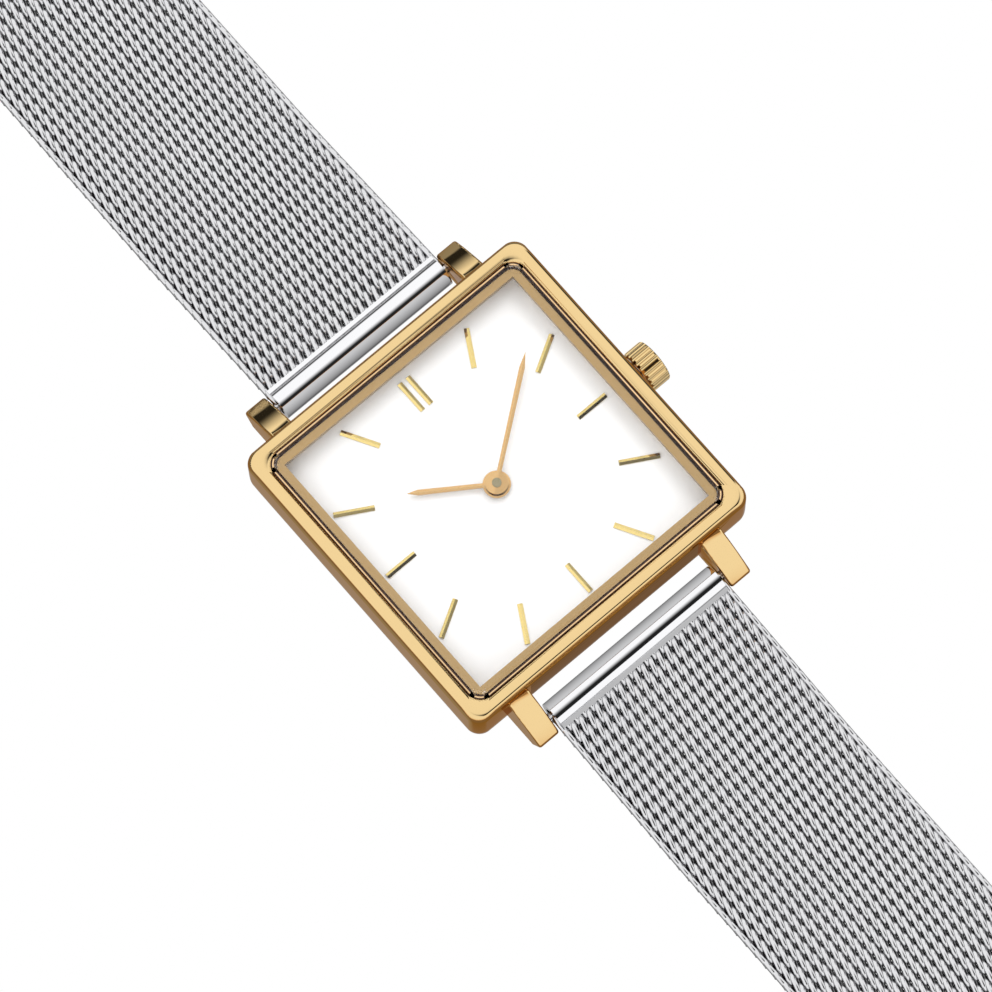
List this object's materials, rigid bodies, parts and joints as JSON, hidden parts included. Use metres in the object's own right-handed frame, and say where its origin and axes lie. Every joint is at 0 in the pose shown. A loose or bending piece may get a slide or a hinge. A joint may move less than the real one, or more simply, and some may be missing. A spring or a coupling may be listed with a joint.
{
  "type": "square wristwatch",
  "caption": "Square quartz wristwatch with polished gold case, white dial with baton markers, fluted crown and a woven steel band with a sliding clasp, open and laid flat.",
  "frame": {"origin": "on the axis of the hands, at the outer face of the case back", "axes": "+Z is the dial's normal, +Y points to twelve o'clock along the band, +X points to the crown"},
  "size_m": [0.0283, 0.1966, 0.0067],
  "materials": {
    "gold": "polished warm yellow gold plate",
    "gold_satin": "satin gold plate",
    "steel_polished": "polished stainless steel",
    "steel_mesh": "drawn stainless wire, bright",
    "steel_inner": "machined steel",
    "crystal_glass": "clear mineral glass",
    "gasket_nylon": "cream nylon",
    "gasket_rubber": "black rubber",
    "dial_white": "fine matt white lacquer",
    "brass_works": "plain brass",
    "plate_nickel": "nickel plated",
    "board_green": "solder mask",
    "chip_black": "moulded epoxy",
    "copper_wire": "enamelled copper",
    "holder_plastic": "off-white moulded plastic"
  },
  "bodies": {
    "case": {"case_body": "gold", "crystal": "crystal_glass", "crystal_gasket": "gasket_nylon", "dial_flange": "gold_satin", "dial": "dial_white", "hour_markers": "gold", "main_plate": "plate_nickel", "train_bridge": "plate_nickel", "circuit_board": "board_green", "quartz_can": "steel_inner", "chip": "chip_black", "coil": "copper_wire", "stator": "steel_inner", "battery": "steel_inner", "battery_clamp": "steel_inner", "movement_screws": "steel_inner", "movement_holder": "holder_plastic", "case_back": "steel_polished", "case_back_gasket": "gasket_rubber", "crown_tube": "steel_inner", "bar_barrels": "steel_inner", "bar_springs": "steel_inner"},
    "minute_arbor": {"center_wheel": "steel_inner", "minute_hand": "gold"},
    "hour_pipe": {"hour_wheel": "brass_works", "hour_hand": "gold"},
    "minute_wheel": {"minute_wheel": "brass_works"},
    "setting_wheel": {"setting_wheel": "steel_inner"},
    "intermediate_wheel": {"intermediate_wheel": "brass_works"},
    "rotor": {"rotor": "steel_inner"},
    "crown_slide": {"crown_gasket": "gasket_rubber"},
    "crown": {"crown": "gold", "stem": "steel_inner"},
    "sliding_pinion": {"sliding_pinion": "steel_inner"},
    "setting_lever": {"setting_lever": "steel_inner"},
    "bar_pin_12_crown_side": {"bar_pin_12_crown_side": "steel_inner"},
    "bar_pin_12_far_side": {"bar_pin_12_far_side": "steel_inner"},
    "bar_pin_6_crown_side": {"bar_pin_6_crown_side": "steel_inner"},
    "bar_pin_6_far_side": {"bar_pin_6_far_side": "steel_inner"},
    "strap_12": {"end_tube_12": "steel_polished", "band_12_lead": "steel_mesh"},
    "link_12_1": {"band_12_link_1": "steel_mesh"},
    "link_12_2": {"band_12_link_2": "steel_mesh"},
    "link_12_3": {"band_12_link_3": "steel_mesh", "hook_end": "steel_polished"},
    "strap_6": {"end_tube_6": "steel_polished", "band_6_lead": "steel_mesh"},
    "link_6_1": {"band_6_link_1": "steel_mesh"},
    "link_6_2": {"band_6_link_2": "steel_mesh"},
    "link_6_3": {"band_6_link_3": "steel_mesh"},
    "ramp_6": {"band_6_ramp": "steel_mesh"},
    "tail_6": {"band_6_tail": "steel_mesh", "band_tip": "steel_polished"},
    "clasp": {"clasp_frame": "steel_polished", "clasp_pins": "steel_inner"},
    "clasp_lock": {"clasp_lock_plate": "steel_polished"},
    "clasp_cover": {"clasp_cover": "steel_polished"}
  },
  "joints": [
    {"name": "minute_turn", "type": "hinge", "parent": "case", "child": "minute_arbor", "pos_m": [0, 0, 0], "axis": [0, 0, 1], "continuous": true},
    {"name": "hour_turn", "type": "hinge", "parent": "case", "child": "hour_pipe", "pos_m": [0, 0, 0], "axis": [0, 0, 1], "continuous": true},
    {"name": "minute_wheel_turn", "type": "hinge", "parent": "case", "child": "minute_wheel", "pos_m": [0.00197, -0.00138, 0], "axis": [0, 0, 1], "continuous": true},
    {"name": "setting_wheel_turn", "type": "hinge", "parent": "case", "child": "setting_wheel", "pos_m": [0.00417, 0, 0], "axis": [0, 0, 1], "continuous": true},
    {"name": "intermediate_turn", "type": "hinge", "parent": "case", "child": "intermediate_wheel", "pos_m": [-0.00236, 0.00136, 0], "axis": [0, 0, 1], "continuous": true},
    {"name": "rotor_turn", "type": "hinge", "parent": "case", "child": "rotor", "pos_m": [-0.00439, 0.00062, 0], "axis": [0, 0, 1], "continuous": true},
    {"name": "crown_pull", "type": "slide", "parent": "case", "child": "crown_slide", "axis": [1, 0, 0], "range_m": [0, 0.0009]},
    {"name": "crown_turn", "type": "hinge", "parent": "crown_slide", "child": "crown", "pos_m": [0, 0, 0.00275], "axis": [1, 0, 0], "continuous": true},
    {"name": "pinion_shift", "type": "slide", "parent": "crown", "child": "sliding_pinion", "axis": [1, 0, 0], "range_m": [-0.00154, 0]},
    {"name": "lever_swing", "type": "hinge", "parent": "case", "child": "setting_lever", "pos_m": [0.0083, 0.0017, 0], "axis": [0, 0, 1], "range_deg": [0, 30.9]},
    {"name": "bar_pin_12_crown_side_push", "type": "slide", "parent": "case", "child": "bar_pin_12_crown_side", "axis": [-1, 0, 0], "range_m": [0, 0.0009], "stiffness_N_per_m": 1500, "springref_m": -0.0008, "deforming": ["bar_springs"]},
    {"name": "bar_pin_12_far_side_push", "type": "slide", "parent": "case", "child": "bar_pin_12_far_side", "axis": [1, 0, 0], "range_m": [0, 0.0009], "stiffness_N_per_m": 1500, "springref_m": -0.0008, "deforming": ["bar_springs"]},
    {"name": "bar_pin_6_crown_side_push", "type": "slide", "parent": "case", "child": "bar_pin_6_crown_side", "axis": [-1, 0, 0], "range_m": [0, 0.0009], "stiffness_N_per_m": 1500, "springref_m": -0.0008, "deforming": ["bar_springs"]},
    {"name": "bar_pin_6_far_side_push", "type": "slide", "parent": "case", "child": "bar_pin_6_far_side", "axis": [1, 0, 0], "range_m": [0, 0.0009], "stiffness_N_per_m": 1500, "springref_m": -0.0008, "deforming": ["bar_springs"]},
    {"name": "strap_12_swing", "type": "hinge", "parent": "case", "child": "strap_12", "pos_m": [0, 0.0152, 0.00245], "axis": [-1, 0, 0], "range_deg": [-60, 60]},
    {"name": "strap_6_swing", "type": "hinge", "parent": "case", "child": "strap_6", "pos_m": [0, -0.0152, 0.00245], "axis": [1, 0, 0], "range_deg": [-60, 60]},
    {"name": "flex_12_1", "type": "hinge", "parent": "strap_12", "child": "link_12_1", "pos_m": [0, 0.03009, 0.00065], "axis": [-1, 0, 0], "range_deg": [-12, 22]},
    {"name": "flex_12_2", "type": "hinge", "parent": "link_12_1", "child": "link_12_2", "pos_m": [0, 0.04209, 0.00065], "axis": [-1, 0, 0], "range_deg": [-12, 22]},
    {"name": "flex_12_3", "type": "hinge", "parent": "link_12_2", "child": "link_12_3", "pos_m": [0, 0.05409, 0.00065], "axis": [-1, 0, 0], "range_deg": [-12, 22]},
    {"name": "flex_6_1", "type": "hinge", "parent": "strap_6", "child": "link_6_1", "pos_m": [0, -0.03009, 0.00065], "axis": [1, 0, 0], "range_deg": [-12, 22]},
    {"name": "flex_6_2", "type": "hinge", "parent": "link_6_1", "child": "link_6_2", "pos_m": [0, -0.04209, 0.00065], "axis": [1, 0, 0], "range_deg": [-12, 22]},
    {"name": "flex_6_3", "type": "hinge", "parent": "link_6_2", "child": "link_6_3", "pos_m": [0, -0.05409, 0.00065], "axis": [1, 0, 0], "range_deg": [-12, 22]},
    {"name": "flex_6_4", "type": "hinge", "parent": "link_6_3", "child": "ramp_6", "pos_m": [0, -0.06609, 0.00065], "axis": [1, 0, 0], "range_deg": [-12, 22]},
    {"name": "flex_6_5", "type": "hinge", "parent": "ramp_6", "child": "tail_6", "pos_m": [0, -0.07807, 0.0013], "axis": [1, 0, 0], "range_deg": [-12, 22]},
    {"name": "clasp_slide", "type": "slide", "parent": "tail_6", "child": "clasp", "axis": [0, -1, 0], "range_m": [-0.004, 0.016]},
    {"name": "clasp_lock_lift", "type": "hinge", "parent": "clasp", "child": "clasp_lock", "pos_m": [0, -0.08527, 0.00255], "axis": [-1, 0, 0], "range_deg": [0, 75]},
    {"name": "clasp_cover_lift", "type": "hinge", "parent": "clasp", "child": "clasp_cover", "pos_m": [0, -0.10547, 0.00335], "axis": [1, 0, 0], "range_deg": [0, 105]}
  ],
  "couplings": [
    {"joint": "hour_turn", "follows": "minute_turn", "ratio": 0.083333},
    {"joint": "minute_wheel_turn", "follows": "minute_turn", "ratio": -0.33333},
    {"joint": "setting_wheel_turn", "follows": "minute_turn", "ratio": 0.75},
    {"joint": "intermediate_turn", "follows": "minute_turn", "ratio": -7.5},
    {"joint": "rotor_turn", "follows": "minute_turn", "ratio": 60},
    {"joint": "pinion_shift", "follows": "crown_pull", "ratio": -1.7111},
    {"joint": "lever_swing", "follows": "crown_pull", "rad_per_m": 598}
  ]
}
